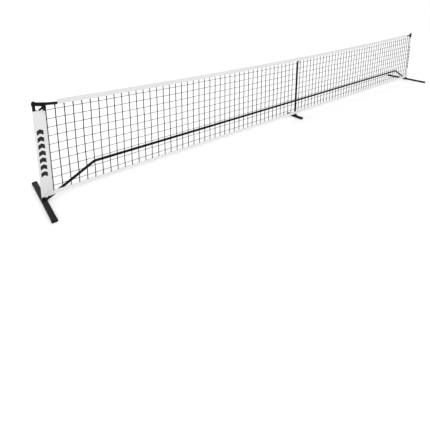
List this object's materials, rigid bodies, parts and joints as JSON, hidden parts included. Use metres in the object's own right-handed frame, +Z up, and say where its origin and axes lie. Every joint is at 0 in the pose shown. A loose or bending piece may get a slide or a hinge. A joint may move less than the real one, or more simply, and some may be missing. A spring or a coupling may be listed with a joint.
{
  "type": "portable pickleball net",
  "caption": "Free-standing portable net on a knock-down tube frame with side feet, centre support, netting, sewn bands, post sleeves and cam-buckled tension straps.",
  "frame": {"origin": "on the ground under the middle of the net, at the centre of the centre foot", "axes": "+X along the net, +Y across it with the netting on the -Y side of the frame, +Z up"},
  "size_m": [6.7056, 0.7112, 0.9144],
  "materials": {
    "black_powder_coat": "satin black powder coat on steel tube",
    "black_cap_plastic": "fine-textured black moulded plastic",
    "black_buckle_plastic": "smooth black moulded plastic",
    "spring_steel": "bright zinc-plated spring steel",
    "white_fabric": "white woven polyester band, edge-stitched",
    "light_grey_fabric": "light grey coated polyester sleeve",
    "black_netting": "black polyethylene netting",
    "black_webbing": "black polypropylene webbing",
    "white_cord": "braided cord"
  },
  "bodies": {
    "frame": {"left_foot_tube": "black_powder_coat", "left_foot_bracket": "black_powder_coat", "left_post": "black_powder_coat", "left_riser": "black_powder_coat", "left_bar_1": "black_powder_coat", "left_bar_2": "black_powder_coat", "left_bar_3": "black_powder_coat", "left_foot_cap_front": "black_cap_plastic", "left_foot_cap_back": "black_cap_plastic", "left_post_cap": "black_cap_plastic", "left_buckle_frame": "black_buckle_plastic", "left_buckle_pin": "spring_steel", "left_anchor_strap": "black_webbing", "left_tension_strap": "black_webbing", "left_sleeve": "light_grey_fabric", "right_foot_tube": "black_powder_coat", "right_foot_bracket": "black_powder_coat", "right_post": "black_powder_coat", "right_riser": "black_powder_coat", "right_bar_1": "black_powder_coat", "right_bar_2": "black_powder_coat", "right_bar_3": "black_powder_coat", "right_foot_cap_front": "black_cap_plastic", "right_foot_cap_back": "black_cap_plastic", "right_post_cap": "black_cap_plastic", "right_buckle_frame": "black_buckle_plastic", "right_buckle_pin": "spring_steel", "right_anchor_strap": "black_webbing", "right_tension_strap": "black_webbing", "right_sleeve": "light_grey_fabric", "center_foot_tube": "black_powder_coat", "center_collar": "black_powder_coat", "center_cross": "black_powder_coat", "center_post": "black_powder_coat", "center_foot_cap_front": "black_cap_plastic", "center_foot_cap_back": "black_cap_plastic", "center_post_cap": "black_cap_plastic", "center_pocket": "white_fabric", "left_top_band": "white_fabric", "right_top_band": "white_fabric", "bottom_band": "white_fabric", "left_net_panel": "black_netting", "right_net_panel": "black_netting", "top_cord": "white_cord"},
    "left_post_button": {"left_post_button": "spring_steel"},
    "left_riser_button": {"left_riser_button": "spring_steel"},
    "left_bar_1_button": {"left_bar_1_button": "spring_steel"},
    "left_bar_2_button": {"left_bar_2_button": "spring_steel"},
    "left_bar_3_button": {"left_bar_3_button": "spring_steel"},
    "left_arm_button": {"left_arm_button": "spring_steel"},
    "right_post_button": {"right_post_button": "spring_steel"},
    "right_riser_button": {"right_riser_button": "spring_steel"},
    "right_bar_1_button": {"right_bar_1_button": "spring_steel"},
    "right_bar_2_button": {"right_bar_2_button": "spring_steel"},
    "right_bar_3_button": {"right_bar_3_button": "spring_steel"},
    "right_arm_button": {"right_arm_button": "spring_steel"},
    "center_lower_button": {"center_lower_button": "spring_steel"},
    "center_upper_button": {"center_upper_button": "spring_steel"},
    "left_buckle_lever": {"left_buckle_lever": "black_buckle_plastic"},
    "right_buckle_lever": {"right_buckle_lever": "black_buckle_plastic"}
  },
  "joints": [
    {"name": "left_post_button_press", "type": "hinge", "parent": "frame", "child": "left_post_button", "pos_m": [-3.3364, 0, 0.0681], "axis": [0, -1, 0], "range_deg": [0, 8.8], "stiffness_Nm_per_rad": 1, "springref_deg": -3.44},
    {"name": "left_riser_button_press", "type": "hinge", "parent": "frame", "child": "left_riser_button", "pos_m": [-3.24547, 0, 0.05582], "axis": [0, -1, 0], "range_deg": [0, 8.8], "stiffness_Nm_per_rad": 1, "springref_deg": -3.44},
    {"name": "left_bar_1_button_press", "type": "hinge", "parent": "frame", "child": "left_bar_1_button", "pos_m": [-2.824, 0, 0.2506], "axis": [0, 1, 0], "range_deg": [0, 8.8], "stiffness_Nm_per_rad": 1, "springref_deg": -3.44},
    {"name": "left_bar_2_button_press", "type": "hinge", "parent": "frame", "child": "left_bar_2_button", "pos_m": [-1.91867, 0, 0.2506], "axis": [0, 1, 0], "range_deg": [0, 8.8], "stiffness_Nm_per_rad": 1, "springref_deg": -3.44},
    {"name": "left_bar_3_button_press", "type": "hinge", "parent": "frame", "child": "left_bar_3_button", "pos_m": [-1.01333, 0, 0.2506], "axis": [0, 1, 0], "range_deg": [0, 8.8], "stiffness_Nm_per_rad": 1, "springref_deg": -3.44},
    {"name": "left_arm_button_press", "type": "hinge", "parent": "frame", "child": "left_arm_button", "pos_m": [-0.108, 0, 0.2506], "axis": [0, 1, 0], "range_deg": [0, 8.8], "stiffness_Nm_per_rad": 1, "springref_deg": -3.44},
    {"name": "right_post_button_press", "type": "hinge", "parent": "frame", "child": "right_post_button", "pos_m": [3.3364, 0, 0.0681], "axis": [0, 1, 0], "range_deg": [0, 8.8], "stiffness_Nm_per_rad": 1, "springref_deg": -3.44},
    {"name": "right_riser_button_press", "type": "hinge", "parent": "frame", "child": "right_riser_button", "pos_m": [3.24547, 0, 0.05582], "axis": [0, 1, 0], "range_deg": [0, 8.8], "stiffness_Nm_per_rad": 1, "springref_deg": -3.44},
    {"name": "right_bar_1_button_press", "type": "hinge", "parent": "frame", "child": "right_bar_1_button", "pos_m": [2.824, 0, 0.2506], "axis": [0, -1, 0], "range_deg": [0, 8.8], "stiffness_Nm_per_rad": 1, "springref_deg": -3.44},
    {"name": "right_bar_2_button_press", "type": "hinge", "parent": "frame", "child": "right_bar_2_button", "pos_m": [1.91867, 0, 0.2506], "axis": [0, -1, 0], "range_deg": [0, 8.8], "stiffness_Nm_per_rad": 1, "springref_deg": -3.44},
    {"name": "right_bar_3_button_press", "type": "hinge", "parent": "frame", "child": "right_bar_3_button", "pos_m": [1.01333, 0, 0.2506], "axis": [0, -1, 0], "range_deg": [0, 8.8], "stiffness_Nm_per_rad": 1, "springref_deg": -3.44},
    {"name": "right_arm_button_press", "type": "hinge", "parent": "frame", "child": "right_arm_button", "pos_m": [0.108, 0, 0.2506], "axis": [0, -1, 0], "range_deg": [0, 8.8], "stiffness_Nm_per_rad": 1, "springref_deg": -3.44},
    {"name": "center_lower_button_press", "type": "hinge", "parent": "frame", "child": "center_lower_button", "pos_m": [0, 0.0086, 0.0963], "axis": [-1, 0, 0], "range_deg": [0, 8.8], "stiffness_Nm_per_rad": 1, "springref_deg": -3.44},
    {"name": "center_upper_button_press", "type": "hinge", "parent": "frame", "child": "center_upper_button", "pos_m": [0, 0.0086, 0.316], "axis": [-1, 0, 0], "range_deg": [0, 8.8], "stiffness_Nm_per_rad": 1, "springref_deg": -3.44},
    {"name": "left_buckle_lever_open", "type": "hinge", "parent": "frame", "child": "left_buckle_lever", "pos_m": [-3.27809, -0.0237, 0.88777], "axis": [0.1085, 0, 0.9941], "range_deg": [0, 80], "stiffness_Nm_per_rad": 0.02, "springref_deg": -22.92},
    {"name": "right_buckle_lever_open", "type": "hinge", "parent": "frame", "child": "right_buckle_lever", "pos_m": [3.27809, -0.0237, 0.88777], "axis": [0.1085, 0, -0.9941], "range_deg": [0, 80], "stiffness_Nm_per_rad": 0.02, "springref_deg": -22.92}
  ]
}
